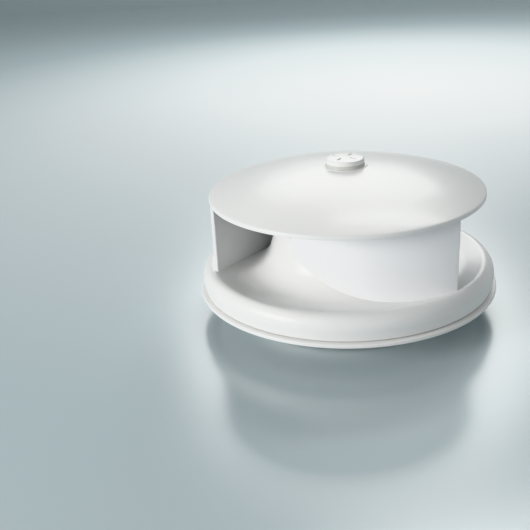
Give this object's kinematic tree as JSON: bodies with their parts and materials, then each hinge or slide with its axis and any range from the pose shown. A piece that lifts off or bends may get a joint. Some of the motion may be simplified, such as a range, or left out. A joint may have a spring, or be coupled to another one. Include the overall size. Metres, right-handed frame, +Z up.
{
  "type": "deck vent",
  "caption": "Low deck vent: a domed cap on curved vanes over a water-trap pan and coaming, with a knob and spindle that screw a sealed damper down onto the duct.",
  "frame": {"origin": "centre of the deck ring's underside, where it lies on the deck", "axes": "+Z up out of the deck along the vent's axis; +X and +Y lie in the deck, and the front vane's outer end is 48.5 degrees from +X towards -Y"},
  "size_m": [0.23, 0.23, 0.1201],
  "materials": {
    "white_abs": "satin moulded white",
    "vane_abs": "satin sheet white",
    "grey_abs": "satin dark grey",
    "nylon": "natural nylon",
    "rubber": "matt",
    "foam": "closed-cell foam",
    "stainless": "drawn or turned",
    "spring_steel": "stamped",
    "wire": "woven wire",
    "brass": "turned"
  },
  "bodies": {
    "base": {"deck_ring": "white_abs", "deck_gasket": "foam", "pan_seal": "rubber", "pan": "white_abs", "vane_front": "vane_abs", "vane_left": "vane_abs", "vane_rear": "vane_abs", "cap": "white_abs", "pan_screws": "stainless", "cap_bush": "nylon", "bush_nut": "nylon", "knob_seat": "nylon", "guide_pins": "stainless", "mesh_screen": "wire", "mesh_keeper": "white_abs", "interior_grille": "grey_abs", "grille_screws": "stainless"},
    "knob_and_spindle": {"knob": "white_abs", "knob_set_screw": "stainless", "spindle": "stainless", "spindle_clips": "spring_steel"},
    "damper": {"damper_disc": "white_abs", "damper_seal": "rubber", "damper_nut": "brass"}
  },
  "joints": [
    {"name": "knob_turn", "type": "hinge", "parent": "base", "child": "knob_and_spindle", "pos_m": [0, 0, 0.0915], "axis": [0, 0, 1], "range_deg": [-1800, 0]},
    {"name": "damper_drop", "type": "slide", "parent": "base", "child": "damper", "axis": [0, 0, 1], "range_m": [-0.02, 0]}
  ],
  "couplings": [
    {"joint": "knob_turn", "follows": "damper_drop", "rad_per_m": 1570.8}
  ]
}
